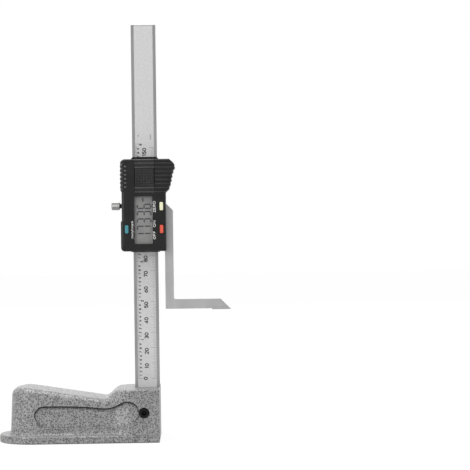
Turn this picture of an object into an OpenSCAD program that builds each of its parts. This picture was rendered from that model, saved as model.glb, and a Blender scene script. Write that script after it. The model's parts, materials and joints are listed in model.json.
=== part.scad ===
// Digital height gauge: a cast base, a flat beam and an electronic slider with a scriber.
// Millimetres. The origin is on the table under the middle of the beam.
// +X points to the scriber's tip, +Y to the back and +Z up the beam.

/* [Beam] */
// Width of the beam
beam_w = 16; // [14.5:0.5:22]
// Thickness of the beam
beam_t = 3.5; // [3:0.1:5]
// Height of the beam's top above the table
beam_top = 269; // [235:1:330]
// Width of the steel left on each side of the scale
rail_w = 1.8; // [1:0.1:3]
// Thickness of the measuring strip in the beam's groove
strip_t = 1; // [0.6:0.1:1.4]
// Thickness of the printed scale on the strip
scale_t = 0.15; // [0.1:0.05:0.3]
// Distance of the stop screw from the beam's top
stop_drop = 4.3; // [4:0.1:8]

/* [Base] */
// Length of the base from the beam's edge to the tip of the toe
base_l = 104; // [92:1:130]
// Width of the base across its flange
base_w = 44; // [40:1:56]
// Thickness of the flange
flange_t = 5; // [3:0.5:7]
// Reach of the flange past the body along the sides
side_ledge = 3.5; // [2.5:0.5:5]
// Reach of the flange past the body at the toe
toe_ledge = 7.5; // [5:0.5:10]
// Width of the flat at the tip of the toe
toe_flat = 2; // [1:0.5:10]
// Length of the rounded end of the flange
toe_round_l = 24; // [20:0.5:26]
// Width of the flat on the heel's end wall
heel_flat = 7; // [4:0.5:12]
// Height of the block that holds the beam
block_h = 33.7; // [31:0.5:40]
// Height of the saddle behind the block
saddle_h = 27.7; // [26:0.5:29]
// Height of the heel
heel_h = 35.5; // [31:0.5:42]
// Length of the flat top of the block
block_l = 26; // [22:1:32]
// Length of the slope between the block and the saddle
slope_l = 9.5; // [6:0.5:14]
// Depth of the recess in each side
recess_d = 1; // [0.4:0.1:1.6]
// Height of the clamp screw above the table
clamp_z = 18.9; // [16:0.5:22]
// Diameter of the clamp screw
clamp_d = 6; // [5:0.5:7]

/* [Slider] */
// Height of the slider's lower edge above the table
slider_z = 122; // [70:1:180]
// Height of the steel frame
frame_h = 55.5; // [54:0.5:64]
// Thickness of the frame beside the beam
frame_side_t = 4.35; // [4.2:0.05:6]
// Thickness of the frame behind the beam
frame_back_t = 1.6; // [1.4:0.1:3]
// Thickness of the gib
gib_t = 1; // [0.6:0.1:1.4]
// Height of the lock screw above the slider's lower edge
lock_up = 29.5; // [26:0.5:34]
// Diameter of the lock screw's shank
lock_d = 3; // [2:0.1:3.2]
// Diameter of the knurled head
knob_d = 5.3; // [4.5:0.1:7]
// Length of the knurled head
knob_l = 5.7; // [4:0.1:9]

/* [Scriber] */
// Width of the scriber's upright bar
arm_w = 5.5; // [4:0.1:7]
// Thickness of the scriber
arm_t = 3.5; // [2.4:0.1:4]
// Drop from the slider's lower edge to the measuring edge
scriber_drop = 38.4; // [30:0.2:46]
// Reach from the frame's side to the tip
scriber_reach = 42.4; // [36:0.2:60]
// Height of the scriber's foot
foot_h = 6.9; // [5:0.1:9]
// Rise of the upright bar above the slider's lower edge
arm_rise = 31.4; // [26:0.1:34]
// Length of the hard tip
tip_l = 12.2; // [9:0.1:16]
// How far the tip stands below the foot
tip_step = 0.65; // [0.3:0.05:1.2]

/* [Cover] */
// Distance from the middle of the beam to the front of the cover
cover_d = 12; // [11.4:0.1:14]
// Thickness of the cover's front wall
cover_wall = 1.5; // [1.2:0.1:2]
// Reach of the cover past the frame on the lock screw's side
left_over = 3.2; // [3:0.1:5]
// Reach of the cover past the frame on the scriber's side
right_over = 1.2; // [1.1:0.1:4]
// Reach of the cover above the frame
top_over = 4; // [3:0.1:6]
// Height of the ribbed thumb grip
grip_h = 21.9; // [21:0.1:26]
// Reach of the thumb rest past the cover's side
thumb_w = 6; // [5:0.1:8]
// Distance between ribs
rib_pitch = 2.65; // [2.2:0.05:3.2]
// Depth of the grooves between ribs
rib_d = 0.5; // [0.2:0.05:0.7]
// Width of the window
window_w = 11.8; // [10:0.1:13]
// Height of the cover below the window
window_foot = 4.8; // [3:0.1:7]
// Height of the cover between the window and the thumb grip
window_head = 2.2; // [1.6:0.1:5]
// Width of the battery cover
door_w = 12.8; // [12.6:0.1:13.6]

/* [Keys and battery] */
// Width of a key
key_w = 2.2; // [1.8:0.1:2.6]
// Height of a key
key_h = 5.3; // [4:0.1:7]
// How far a key goes in
key_travel = 0.4; // [0.2:0.05:0.5]
// Diameter of the button cell
cell_d = 11.6; // [11:0.1:11.8]
// Thickness of the button cell
cell_t = 5.4; // [4.4:0.1:5.6]

/* [Hidden] */

// Clearances
slide_gap = 0.05;
screw_gap = 0.02;
fit_gap = 0.1;
overrun = 0.5;

// Beam and what lies in its groove
scale_sink = 0.05;
groove_d = strip_t + scale_t + scale_sink;
groove_w = beam_w - 2 * rail_w;
scale_end_gap = 0.6;
seat_floor = 6;
groove_under = 5;
groove_z = block_h - groove_under;
stop_z = beam_top - stop_drop;
stop_r = 1.5;
stop_head_r = 2.45;
stop_head_t = 1.4;
stop_washer_r = 3.7;
stop_washer_t = 0.6;
drive_slot_w = 0.7;
drive_slot_d = 0.7;

// Base
end_x = beam_w / 2;
toe_x = end_x - base_l;
heel_x = toe_x + toe_ledge;
body_half = base_w / 2 - side_ledge;
block_inset = 0.5;
block_half = base_w / 2 - block_inset;
draft = 1;
flare_l = 17;
flare_run = 13;
saddle_x = end_x - block_l - slope_l;
heel_round_l = 11.5;
heel_drop = 1.2;
heel_peak_x = heel_x + heel_round_l;
top_round = 4;
block_round = 0.8;
flange_round = 1;
flange_land = 0.3;
root_round = side_ledge - flange_round - flange_land;
foot_edge = 0.5;
slot_gap = 0.2;
slot_relief_r = 1;
clamp_x = -1.8;
clamp_sink = 1;
clamp_flare = 0.4;
clamp_flare_l = 1.2;
clamp_hex = 3;
clamp_hex_d = 3;
relief_d = 1.2;
relief_rim = 6;
relief_end = 20;
wall_steps = 12;
run_steps = 4;
arc_steps = 8;
round_steps = 4;
// Outline of the side recess: shares of the base's length back from the beam's edge,
// and shares of the saddle's height
recess_shares = [
    [0.77, 0.64], [0.75, 0.79], [0.7, 0.855], [0.47, 0.835], [0.335, 0.79],
    [0.27, 0.84], [0.205, 0.95], [0.148, 0.89], [0.126, 0.71], [0.142, 0.51],
    [0.2, 0.41], [0.45, 0.365], [0.7, 0.37], [0.745, 0.48]
];
recess_steps = 4;

// Frame and gib
frame_half = beam_w / 2 + slide_gap + frame_side_t;
frame_top = slider_z + frame_h;
frame_back_in = beam_t / 2 + slide_gap;
frame_back = frame_back_in + frame_back_t;
board_gap = 0.15;
frame_front = -beam_t / 2 - board_gap;
gib_in = beam_w / 2 + slide_gap;
gib_out = gib_in + gib_t;
gib_wall_x = gib_out + slide_gap;
gib_end = 3;
gib_screw_r = 1;
gib_screw_end = 9;
gib_hex = 0.9;
gib_hex_d = 1;
lock_z = slider_z + lock_up;
lock_r = lock_d / 2;
pad_t = 1.2;
lock_seat = gib_out + screw_gap;
lock_tip = lock_seat + pad_t + screw_gap;
label_t = 0.15;
label_rim = 0.4;

// Scriber
chisel = 0.3;
arm_y = 0.75;
arm_chamfer = 0.5;
arm_root = 2;
arm_fillet = 1.2;
fillet_steps = 6;
scriber_z = slider_z - scriber_drop;
foot_z = scriber_z + tip_step;
foot_top = scriber_z + foot_h;
tip_x = frame_half + scriber_reach;
tip_h = 2.3;
bevel_l = foot_h - chisel;

// Circuit board and display stack
board_t = 0.8;
board_front = frame_front - board_t;
board_margin = 0.2;
board_half = frame_half - board_margin;
wiper_in = 2;
board_z = slider_z + wiper_in + board_margin;
board_top = frame_top - board_margin;
boss_in = 2;
boss_end = 4;
boss_x = frame_half - boss_in;
boss_r = 1.6;
case_screw_r = 0.8;
case_screw_bite = 4;
case_head_r = 1.5;
case_head_t = 0.9;
dome_r = 1.1;
dome_t = 0.35;
window_x = -0.95;
window_sink = 0.1;
window_lip = 0.8;
window_lip_t = 0.6;
glass_t = 2;
glass_margin = 0.6;
rubber_w = 1.8;
chip_r = 3.6;
chip_t = 1.3;
chip_up = 20;

// Cover
cover_front = -cover_d;
cover_back = 1.2;
cover_left = -frame_half - left_over;
cover_right = frame_half + right_over;
cover_top = frame_top + top_over;
grip_z = cover_top - grip_h;
left_bevel = 2;
right_bevel = 1;
bevel_depth = 1.2;
left_corner = 2.5;
right_corner = 1.2;
top_corner = 3;
waist_d = 0.7;
waist_low = 18.8;
waist_high = 2;
waist_run = 1.4;
ripple = 0.28;
rib_points = 6;
rib_groove_share = 0.38;
corner_steps = 8;
cover_gap = 0.3;
pocket_y = board_front - cover_gap;
cavity_y = board_front - cover_gap / 2;
end_wall = 1.5;
cavity_front = cover_front + cover_wall;
notch_w = 3.6;

// Thumb rest and the plate behind it
// Swell of the thumb rest: shares of the grip's height and of the thumb rest's reach
thumb_shares = [
    [0, 0], [0.1, 0.34], [0.3, 0.567], [0.45, 0.67], [0.6, 0.79], [0.77, 1], [0.9, 0.81], [1, 0.393]
];
plate_t = 1.2;
plate_rim = 0.9;
plate_low = 5;
plate_steps = 12;
thumb_screw_x = cover_right + 2.5;
thumb_screw_z = cover_top - 6.1;
thumb_screw_r = 0.7;
thumb_head_r = 1.25;
thumb_head_t = 0.6;
thumb_sink_r = 1.8;
thumb_sink_d = 0.7;
thumb_screw_l = 5;
small_slot = 0.5;

// Window and display
window_h = grip_z - slider_z - window_foot - window_head;
glass_y = cavity_front + window_lip_t + slide_gap;
glass_back = glass_y + glass_t;

// Battery and its cover
door_t = 1.4;
tongue_t = 0.8;
tongue_w = 0.8;
rail_t = 0.8;
grip_front = cover_front + door_t + tongue_t + 2 * fit_gap + rail_t;
well_wall = 1;
well_gap = 1.1;
cell_gap = 0.15;
cell_up = 10.5;
cell_z = grip_z + cell_up;
cell_front = cover_front + door_t + tongue_t + 2 * fit_gap;
cell_back = cell_front + cell_t;
cell_round = 0.6;
contact_t = 0.2;
contact_w = 3;
contact_foot = 2;
patch_ribs = 4;
patch_from = 2;
patch_d = 0.25;
patch_line = 0.55;
patch_rim = 0.4;
patch_cols = 7;
patch_rows = 6;

// Wipers
wiper_over = 1.3;
wiper_t = 1.5;
wiper_out = 0.5;
wiper_rise = 1.7;
wiper_taper = 1.5;
wiper_half = beam_w / 2 + wiper_over;
wiper_back = frame_front - slide_gap;
wiper_front = wiper_back - wiper_t;

// Keys. Their heights are shares of the cover's height below the grip.
key_shares = [0.7713, 0.3803];
zero_up = key_shares[0] * (grip_z - slider_z);
power_up = key_shares[1] * (grip_z - slider_z);
key_from_right = 1.75;
key_from_left = 0.6;
key_out = 0.5;
key_corner = 0.7;
key_gap = 0.08;
key_lip = 0.5;
key_lip_t = 0.6;
stem_w = 1.6;
rest_gap = 0.02;
right_key_x = frame_half - key_from_right;
left_key_x = -frame_half + key_from_left;
stem_limit = board_half - dome_r;
cavity_left = left_key_x - key_w / 2 - key_lip - fit_gap;
cavity_right = right_key_x + key_w / 2 + key_lip + fit_gap;

// Lock screw
knob_gap = 0.7;
knob_x = cover_left - knob_gap;
knurl_teeth = 28;
knurl_d = 0.18;
knob_edge = 0.5;

function mix(a, b, t) = a + (b - a) * t;
function clamp(t) = min(max(t, 0), 1);
function ease(t) = let (c = clamp(t)) c * c * (3 - 2 * c);
function flip(p) = [p[0], -p[1], p[2]];

// A smooth curve through four points, from the second to the third
function spline(a, b, c, d, t) =
    0.5 * (2 * b + (c - a) * t + (2 * a - 5 * b + 4 * c - d) * t * t
        + (3 * b - 3 * c + d - a) * t * t * t);

function closed_curve(p, steps) =
    let (n = len(p))
    [for (i = [0:n - 1]) for (k = [0:steps - 1])
        spline(p[(i + n - 1) % n], p[i], p[(i + 1) % n], p[(i + 2) % n], k / steps)];

// Value of a table of [place, value] pairs at place t, eased from pair to pair
function table_at(p, t, i = 0) =
    i >= len(p) - 2 || t <= p[i + 1][0]
        ? spline(p[max(i - 1, 0)][1], p[i][1], p[i + 1][1], p[min(i + 2, len(p) - 1)][1],
            clamp((t - p[i][0]) / (p[i + 1][0] - p[i][0])))
        : table_at(p, t, i + 1);

// Height of the casting's top, and how far its walls have swollen into the block
function top_z(x) =
    x > saddle_x ? mix(saddle_h, block_h, ease((x - saddle_x) / slope_l))
    : x > heel_peak_x ? mix(heel_h, saddle_h, (x - heel_peak_x) / (saddle_x - heel_peak_x))
    : heel_h - heel_drop * pow((heel_peak_x - x) / heel_round_l, 2);
function flare(x) = ease((x - end_x + flare_l + flare_run) / flare_run);
function edge_round(x) = mix(top_round, block_round, flare(x));

// Stations along one side of the casting, from the beam's edge to the round end
function stations(far) = concat(
    [end_x],
    [for (i = [0:wall_steps]) mix(end_x - flare_l, saddle_x, i / wall_steps)],
    [for (i = [1:run_steps]) mix(saddle_x, far, i / run_steps)]);

// Half an outline seen from above, with a rounded end of a given length,
// as [x, y, normal x, normal y]
function half_outline(far, half, flat, end_l) =
    let (r = half - flat / 2, turn = far + end_l) concat(
    [for (x = stations(turn)) [x, -half, 0, -1]],
    [for (i = [1:arc_steps])
        let (a = 90 * i / arc_steps, n = [r * sin(a), end_l * cos(a)])
        [turn - end_l * sin(a), -flat / 2 - r * cos(a), -n[0] / norm(n), -n[1] / norm(n)]]);
function flange_outline() = half_outline(toe_x, base_w / 2, toe_flat, toe_round_l);
function body_outline() = half_outline(heel_x, body_half, heel_flat, body_half - heel_flat / 2);

function whole(points) = concat(points, [for (i = [len(points) - 1:-1:0]) flip(points[i])]);

// Level ring of the flange, set in by one distance along the body and another along the block
function flange_ring(inset, block_in, z) = whole(
    [for (p = flange_outline())
        let (d = mix(inset, block_in, flare(p[0]))) [p[0] - p[2] * d, p[1] - p[3] * d, z]]);

// Ring of the hollow round between the flange and the body, at an angle from 0 to 90
function root_ring(inset, turn) = whole(
    [for (p = body_outline())
        let (f = flare(p[0]),
            d = f * (block_half - body_half) + (1 - f) * root_round * (1 - sin(turn)) - inset)
        [p[0] + p[2] * d, p[1] + p[3] * d, flange_t + root_round * (1 - cos(turn))]]);

// Ring of the rounded top edge, at an angle from 0 to 90
function top_ring(inset, turn) = whole(
    [for (p = body_outline())
        let (f = flare(p[0]), r = edge_round(p[0]),
            d = f * (block_half - body_half) - (1 - f) * draft - r * (1 - cos(turn)) - inset,
            x = p[0] + p[2] * d)
        [x, p[1] + p[3] * d, top_z(x) - r * (1 - sin(turn))]]);

function base_rings(inset) = concat(
    [flange_ring(inset + foot_edge, inset + foot_edge, 0), flange_ring(inset, inset, foot_edge)],
    [for (i = [0:round_steps]) let (a = 90 * i / round_steps, part = 1 - cos(a))
        flange_ring(inset + flange_round * part, inset + block_inset * part,
            flange_t - flange_round * (1 - sin(a)))],
    [for (i = [0:round_steps]) root_ring(inset, 90 * i / round_steps)],
    [for (i = [0:round_steps]) top_ring(inset, 90 * i / round_steps)]);

// Solid through a stack of rings, each clockwise as seen from the last one's side.
// Each end is closed by strips between the ring's first half and its second half.
module skin(rings) {
    n = len(rings[0]);
    m = len(rings);
    last = (m - 1) * n;
    sides = [for (j = [0:m - 2]) for (i = [0:n - 1]) let (k = (i + 1) % n)
        each [[j * n + i, (j + 1) * n + k, (j + 1) * n + i],
            [j * n + i, j * n + k, (j + 1) * n + k]]];
    ends = [for (i = [0:n / 2 - 2])
        each [[n - 1 - i, n - 2 - i, i + 1, i],
            [last + i, last + i + 1, last + n - 2 - i, last + n - 1 - i]]];
    polyhedron([for (r = rings) each r], concat(sides, ends), convexity = 6);
}

module along_y(y, depth) {
    translate([0, y + depth, 0]) rotate([90, 0, 0]) linear_extrude(depth) children();
}

module rod_y(x, y, z, r, l, fn = 48) {
    translate([x, y + l, z]) rotate([90, 0, 0]) cylinder(r = r, h = l, $fn = fn);
}

module rod_x(x, y, z, r, l, fn = 48) {
    translate([x, y, z]) rotate([0, 90, 0]) cylinder(r = r, h = l, $fn = fn);
}

module rounded(w, h, r) {
    square([w - 2 * r, h], center = true);
    square([w, h - 2 * r], center = true);
    for (x = [-1, 1], y = [-1, 1])
        translate([x * (w / 2 - r), y * (h / 2 - r)]) circle(r = r, $fn = 32);
}

module base_casting() {
    recess = [for (p = closed_curve(recess_shares, recess_steps))
        [end_x - p[0] * base_l, p[1] * saddle_h]];
    relief_r = base_w / 2 - relief_rim;
    relief_x = toe_x + base_w / 2;
    color("darkgray") difference() {
        resize([base_l, base_w, 0]) difference() {
            skin(base_rings(0));
            difference() {
                along_y(-base_w, 2 * base_w) polygon(recess);
                skin(base_rings(recess_d));
            }
        }
        translate([-beam_w / 2 - slot_gap, -beam_t / 2 - slot_gap, seat_floor])
            cube([beam_w + slot_gap + overrun, beam_t + slot_gap, block_h]);
        translate([-beam_w / 2 - slot_gap, -beam_t / 2 + slot_relief_r / 2, seat_floor])
            cylinder(r = slot_relief_r, h = block_h, $fn = 48);
        rod_y(clamp_x, -base_w / 2, clamp_z, clamp_d / 2 + slide_gap, base_w / 2);
        rod_y(clamp_x, -base_w / 2, clamp_z, clamp_d / 2 + clamp_flare,
            block_inset + clamp_flare_l);
        translate([0, 0, -overrun]) linear_extrude(relief_d + overrun) {
            translate([relief_x, 0]) circle(r = relief_r, $fn = 96);
            translate([relief_x, -relief_r])
                square([end_x - relief_end - relief_x, 2 * relief_r]);
        }
    }
}

module beam_clamp_screw() {
    mouth = -block_half + clamp_sink;
    tip = -beam_t / 2;
    color("#1c1c1e") difference() {
        rod_y(clamp_x, mouth, clamp_z, clamp_d / 2, tip - mouth);
        rod_y(clamp_x, mouth - overrun, clamp_z, clamp_hex / sqrt(3), clamp_hex_d + overrun, 6);
    }
}

module beam() {
    color("silver") difference() {
        translate([-beam_w / 2, -beam_t / 2, seat_floor])
            cube([beam_w, beam_t, beam_top - seat_floor]);
        translate([-groove_w / 2, -beam_t / 2 - overrun, groove_z])
            cube([groove_w, groove_d + overrun, beam_top - groove_z + overrun]);
        rod_y(0, -beam_t / 2, stop_z, stop_r + screw_gap, beam_t + overrun);
    }
}

module groove_layer(y, t) {
    translate([-groove_w / 2 + slide_gap, y, groove_z + slide_gap])
        cube([groove_w - 2 * slide_gap, t, beam_top - scale_end_gap - groove_z - slide_gap]);
}

module scale_strip() {
    color("#c7bd9c") groove_layer(-beam_t / 2 + scale_sink + scale_t, strip_t);
}

module scale_label() {
    color("gainsboro") groove_layer(-beam_t / 2 + scale_sink, scale_t);
}

module stop_screw() {
    head_y = beam_t / 2 + stop_washer_t;
    tip_y = -beam_t / 2 + groove_d + fit_gap;
    color("gray") difference() {
        union() {
            rod_y(0, tip_y, stop_z, stop_r, head_y - tip_y + stop_head_t / 2);
            rod_y(0, head_y, stop_z, stop_head_r, stop_head_t);
        }
        translate([-drive_slot_w / 2, head_y + stop_head_t - drive_slot_d, stop_z - beam_w])
            cube([drive_slot_w, drive_slot_d + overrun, 2 * beam_w]);
    }
}

module stop_washer() {
    color("silver") difference() {
        rod_y(0, beam_t / 2, stop_z, stop_washer_r, stop_washer_t);
        rod_y(0, beam_t / 2 - overrun, stop_z, stop_r + slide_gap, stop_washer_t + 2 * overrun);
    }
}

// Outline of the scriber with its upright bar, seen from the front
function scriber_outline() =
    let (outer = frame_half + arm_w, cx = outer + arm_fillet, cz = foot_top + arm_fillet) concat(
    [[frame_half - arm_root, slider_z], [frame_half, slider_z], [frame_half, foot_z],
        [tip_x - tip_l, foot_z], [tip_x - tip_l, scriber_z], [tip_x, scriber_z],
        [tip_x, scriber_z + chisel], [tip_x - bevel_l, foot_top]],
    [for (i = [0:fillet_steps]) let (a = 270 - 90 * i / fillet_steps)
        [cx + arm_fillet * cos(a), cz + arm_fillet * sin(a)]],
    [[outer, slider_z + arm_rise - arm_w + arm_chamfer],
        [frame_half + arm_chamfer, slider_z + arm_rise],
        [frame_half - arm_root, slider_z + arm_rise]]);

module tip_block(gap) {
    translate([tip_x - tip_l - gap, arm_y - arm_t, scriber_z - overrun])
        cube([tip_l + arm_t, 2 * arm_t, tip_h + overrun + gap]);
}

module slider_frame() {
    color("lightgray") difference() {
        union() {
            translate([-frame_half, frame_front, slider_z])
                cube([2 * frame_half, frame_back - frame_front, frame_h]);
            along_y(arm_y - arm_t / 2, arm_t) polygon(scriber_outline());
        }
        translate([-gib_wall_x, frame_front - overrun, slider_z - overrun])
            cube([gib_wall_x + gib_in, frame_back_in - frame_front + overrun,
                frame_h + 2 * overrun]);
        rod_x(-frame_half - overrun, 0, lock_z, lock_r + slide_gap, frame_half + overrun - gib_in);
        gib_screw_holes();
        case_screws(screw_gap, overrun);
        tip_block(0);
    }
}

module scriber_tip() {
    color("dimgray") intersection() {
        along_y(arm_y - arm_t / 2, arm_t) polygon(scriber_outline());
        tip_block(0);
    }
}

module gib_places() {
    for (z = [slider_z + gib_screw_end, frame_top - gib_screw_end]) translate([0, 0, z]) children();
}

module gib_screw_holes() {
    gib_places() rod_x(-frame_half - overrun, 0, 0, gib_screw_r + screw_gap,
        frame_half + overrun - gib_in);
}

module gib_strip() {
    color("peru") translate([-gib_out, -beam_t / 2, slider_z + gib_end])
        cube([gib_t, beam_t, frame_h - 2 * gib_end]);
}

module gib_screws() {
    l = frame_half - gib_wall_x - fit_gap;
    color("dimgray") gib_places() difference() {
        rod_x(-gib_wall_x - l, 0, 0, gib_screw_r, l);
        rod_x(-gib_wall_x - l - overrun, 0, 0, gib_hex / sqrt(3), gib_hex_d + overrun, 6);
    }
}

module back_label() {
    color("#1a1a1a") translate([-frame_half + label_rim, frame_back, slider_z + label_rim])
        cube([2 * (frame_half - label_rim), label_t, frame_h - 2 * label_rim]);
}

module boss_places() {
    for (x = [-boss_x, boss_x], z = [slider_z + boss_end, frame_top - boss_end])
        translate([x, 0, z]) children();
}

// The four case screws, or with a gap their holes
module case_screws(gap, over) {
    tip = board_front - case_screw_bite;
    boss_places() {
        rod_y(0, tip - gap, 0, case_screw_r + gap, frame_back - tip + gap);
        rod_y(0, frame_back - case_head_t - gap, 0, case_head_r + gap, case_head_t + gap + over);
    }
}

module sensor_board() {
    color("darkgreen") difference() {
        translate([-board_half, board_front, board_z])
            cube([2 * board_half, board_t, board_top - board_z]);
        boss_places() rod_y(0, board_front - overrun, 0, case_screw_r + fit_gap,
            board_t + 2 * overrun);
    }
}

module sensor_chip() {
    color("#141414") translate([window_x, board_front, slider_z + chip_up]) rotate([90, 0, 0])
        cylinder(r1 = chip_r, r2 = chip_r - chip_t, h = chip_t, $fn = 64);
}

function stem_x(x) = sign(x) * min(abs(x), stem_limit);

module key_places() {
    for (p = [[right_key_x, zero_up], [right_key_x, power_up], [left_key_x, power_up]])
        translate([stem_x(p[0]), 0, slider_z + p[1]]) children();
}

module key_domes() {
    color("silver") key_places() {
        rod_y(0, board_front - dome_t, 0, dome_r - dome_t, dome_t);
        rod_y(0, board_front - dome_t / 2, 0, dome_r, dome_t / 2);
    }
}

module window_box(margin, y, t) {
    translate([window_x - window_w / 2 - margin, y, slider_z + window_foot - margin])
        cube([window_w + 2 * margin, t, window_h + 2 * margin]);
}

module display_window() {
    color("whitesmoke", 0.4) {
        window_box(-slide_gap, cover_front + window_sink, cover_wall - window_sink);
        window_box(window_lip, cavity_front, window_lip_t);
    }
}

module display_glass() {
    color("slategray") window_box(glass_margin, glass_y, glass_t);
}

module contact_rubbers() {
    x0 = window_x - window_w / 2 - glass_margin;
    x1 = window_x + window_w / 2 + glass_margin - rubber_w;
    color("#2b2b30") for (x = [x0, x1])
        translate([x, glass_back, slider_z + window_foot])
            cube([rubber_w, board_front - glass_back, window_h]);
}

module battery() {
    color("silver") {
        rod_y(0, cell_front + cell_round, cell_z, cell_d / 2, cell_t - cell_round, 64);
        rod_y(0, cell_front, cell_z, cell_d / 2 - cell_round, cell_round, 64);
    }
}

// Bent blade from the board to the cell's back
module battery_contact_minus() {
    lift = board_front - cell_back - contact_t - screw_gap;
    color("gold") translate([0, 0, cell_z - contact_w / 2]) linear_extrude(contact_w) {
        polygon([
            [-contact_foot, board_front], [-contact_foot, board_front - contact_t],
            [0, board_front - contact_t], [contact_foot, board_front - contact_t - lift],
            [2 * contact_foot, board_front - contact_t - lift],
            [2 * contact_foot, board_front - lift],
            [contact_foot + contact_t, board_front - lift], [contact_t, board_front]
        ]);
    }
}

// Blade beside the cell's rim, in a gap of the well's wall
module battery_contact_plus() {
    x = -cell_d / 2 - contact_t - screw_gap;
    color("gold") translate([0, 0, cell_z - contact_w / 2]) {
        translate([x, cell_front + cell_t / 2, 0])
            cube([contact_t, board_front - cell_front - cell_t / 2, contact_w]);
        translate([x - contact_foot, board_front - contact_t, 0])
            cube([contact_foot + contact_t, contact_t, contact_w]);
    }
}

// Ripple of the ribs along the cover's edges, and the swell and the waist of these edges
function ripple_at(z) =
    ripple * cos(360 * (z - grip_z) / rib_pitch) * sin(180 * clamp((z - grip_z) / grip_h));
function thumb_plain(z) = cover_right + thumb_w * table_at(thumb_shares, (z - grip_z) / grip_h);
function waist(z) =
    waist_d * ease((z - slider_z - waist_low) / waist_run)
        * (1 - ease((z - grip_z - waist_high + waist_run) / waist_run));

// How far a rounded corner keeps an edge back at a distance from the corner's end
function corner_at(r, from_end) = from_end < r ? r - sqrt(r * r - pow(r - max(from_end, 0), 2)) : 0;

function left_edge(z) = cover_left + waist(z) + ripple_at(z)
    + corner_at(left_corner, z - slider_z) + corner_at(top_corner, cover_top - z);
function right_edge(z) = thumb_plain(z) + ripple_at(z) - corner_at(right_corner, z - slider_z);

// Heights at which the cover's outline is worked out, closer together where it bends
function cover_levels() =
    let (ribs = ceil((grip_h - top_corner) / rib_pitch * rib_points)) concat(
    [for (i = [0:corner_steps]) slider_z + left_corner * (1 - cos(90 * i / corner_steps))],
    [for (i = [0:corner_steps]) slider_z + waist_low + waist_run * i / corner_steps],
    [for (i = [0:ribs]) mix(grip_z, cover_top - top_corner, i / ribs)],
    [for (i = [corner_steps - 1:-1:0]) cover_top - top_corner * (1 - cos(90 * i / corner_steps))]);

// Ring of the cover, up the left edge and down the right one, stepped in by a share of its bevels
function cover_ring(share, y) =
    let (levels = cover_levels(), n = len(levels), inset = right_bevel * share,
        shrink = 1 - 2 * inset / (cover_top - slider_z)) concat(
    [for (z = levels) [left_edge(z) + left_bevel * share, y,
        slider_z + inset + (z - slider_z) * shrink]],
    [for (i = [n - 1:-1:0]) [right_edge(levels[i]) - inset, y,
        slider_z + inset + (levels[i] - slider_z) * shrink]]);

module cover_shape() {
    skin(concat(
        [cover_ring(0, cover_back)],
        [for (i = [0:round_steps]) let (a = 90 * i / round_steps)
            cover_ring(1 - cos(a), cover_front + bevel_depth * (1 - sin(a)))]));
}

// Grooves across the front of the grip, from its battery cover to the thumb rest's edge,
// below and above the ribs from first to last
module rib_grooves(from, to) {
    r = rib_pitch * rib_groove_share;
    for (i = [0:floor(grip_h / rib_pitch) - 1]) if (i < from || i >= to)
        rod_x(-door_w / 2, cover_front - r + rib_d, grip_z + (i + 0.5) * rib_pitch, r,
            cover_right + thumb_w + door_w / 2 + overrun, 24);
}

module key_hole(x, up) {
    translate([x, 0, slider_z + up]) along_y(cover_front - overrun, cover_wall + 2 * overrun)
        rounded(key_w + 2 * key_gap, key_h + 2 * key_gap, key_corner + key_gap);
}

// Plate and tongues of the battery cover, or with a gap the slot that they run in
module door_slot(gap, low, high) {
    translate([-door_w / 2 - gap, cover_front - overrun, low])
        cube([door_w + 2 * gap, door_t + gap + overrun, high - low]);
    translate([-door_w / 2 - tongue_w - gap, cover_front + door_t - gap, low])
        cube([door_w + 2 * (tongue_w + gap), tongue_t + 2 * gap, high - low]);
}

module plate_outline(inset) {
    low = grip_z + plate_low + inset;
    high = cover_top - plate_rim - inset;
    left = frame_half + fit_gap + plate_rim + inset;
    polygon(concat([[left, low]],
        [for (i = [0:plate_steps]) let (z = mix(low, high, i / plate_steps))
            [thumb_plain(z) - plate_rim - inset, z]],
        [[left, high]]));
}

// Shell without its openings: hollow behind the front wall, with bosses and the cell's well
module cover_shell() {
    depth = cover_back - pocket_y + overrun;
    difference() {
        cover_shape();
        translate([cavity_left, cavity_front, slider_z + end_wall])
            cube([cavity_right - cavity_left, cavity_y - cavity_front,
                grip_z - slider_z - end_wall]);
        translate([cavity_left, grip_front, slider_z + end_wall])
            cube([cavity_right - cavity_left, cavity_y - grip_front,
                cover_top - slider_z - 2 * end_wall]);
        translate([-frame_half - fit_gap, pocket_y, slider_z - overrun])
            cube([2 * (frame_half + fit_gap), depth, frame_h + overrun + fit_gap]);
    }
    boss_places() rod_y(0, cavity_front - cover_wall / 2, 0, boss_r,
        board_front - cavity_front + cover_wall / 2);
    rod_y(0, grip_front - rail_t / 2, cell_z, cell_d / 2 + cell_gap + well_wall,
        board_front - well_gap - grip_front + rail_t / 2, 64);
}

module wiper_seat(low, high) {
    translate([-wiper_half - slide_gap, wiper_front - slide_gap, low])
        cube([2 * (wiper_half + slide_gap), cover_back - wiper_front + 2 * overrun, high - low]);
}

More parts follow.
